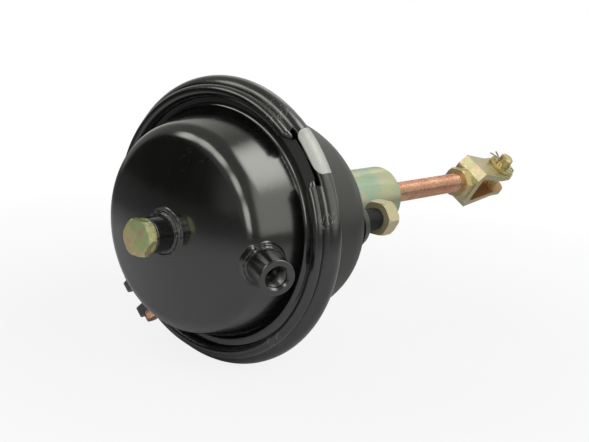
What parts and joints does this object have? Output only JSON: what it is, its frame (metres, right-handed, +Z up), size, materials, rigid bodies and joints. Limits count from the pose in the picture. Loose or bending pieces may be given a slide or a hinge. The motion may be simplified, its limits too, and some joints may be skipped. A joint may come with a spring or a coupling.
{
  "type": "air brake chamber",
  "caption": "Diaphragm air brake chamber with clamped round housings, two threaded air ports, mounting studs and a sprung push rod ending in a clevis.",
  "frame": {"origin": "centre of the mounting face, midway between the two studs", "axes": "+X along the chamber's axis towards the push rod, the studs side by side along Y, +Z up"},
  "size_m": [0.4622, 0.206, 0.206],
  "materials": {
    "gloss_black": "gloss",
    "satin_black": "satin",
    "yellow_zinc": "satin",
    "green_zinc": "satin",
    "copper_plate": "satin",
    "bright_zinc": "satin",
    "spring_steel": "satin",
    "black_rubber": "matte",
    "copper": "satin"
  },
  "bodies": {
    "chamber": {"pressure_housing": "gloss_black", "centre_port_boss": "gloss_black", "side_port_boss": "gloss_black", "port_welds": "gloss_black", "plug_washer": "copper", "plug_bolt": "yellow_zinc", "non_pressure_housing": "satin_black", "mounting_studs": "satin_black", "stud_nuts": "yellow_zinc", "dust_ring": "black_rubber", "clamp_ring": "gloss_black", "clamp_bolt": "copper_plate", "clamp_nut": "copper_plate", "diaphragm": "black_rubber"},
    "piston": {"piston_plate": "bright_zinc", "rod_socket": "bright_zinc", "return_spring": "spring_steel"},
    "rod": {"push_rod": "copper_plate", "guide_tube": "green_zinc", "tube_caps": "bright_zinc", "jam_nut": "yellow_zinc", "clevis": "green_zinc"},
    "pin": {"clevis_pin": "yellow_zinc", "pin_washer": "yellow_zinc", "cotter_pin": "bright_zinc"}
  },
  "joints": [
    {"name": "stroke", "type": "slide", "parent": "chamber", "child": "piston", "axis": [1, 0, 0], "range_m": [0, 0.064], "stiffness_N_per_m": 2500, "springref_m": -0.08, "deforming": ["return_spring", "diaphragm"]},
    {"name": "rod_tilt", "type": "hinge", "parent": "piston", "child": "rod", "pos_m": [-0.0915, 0, 0], "axis": [0, -1, 0], "range_deg": [0, 2.31]},
    {"name": "pin_turn", "type": "hinge", "parent": "rod", "child": "pin", "pos_m": [0.29392, 0, -0.00778], "axis": [0.017, -0.5373, 0.8432], "continuous": true}
  ]
}
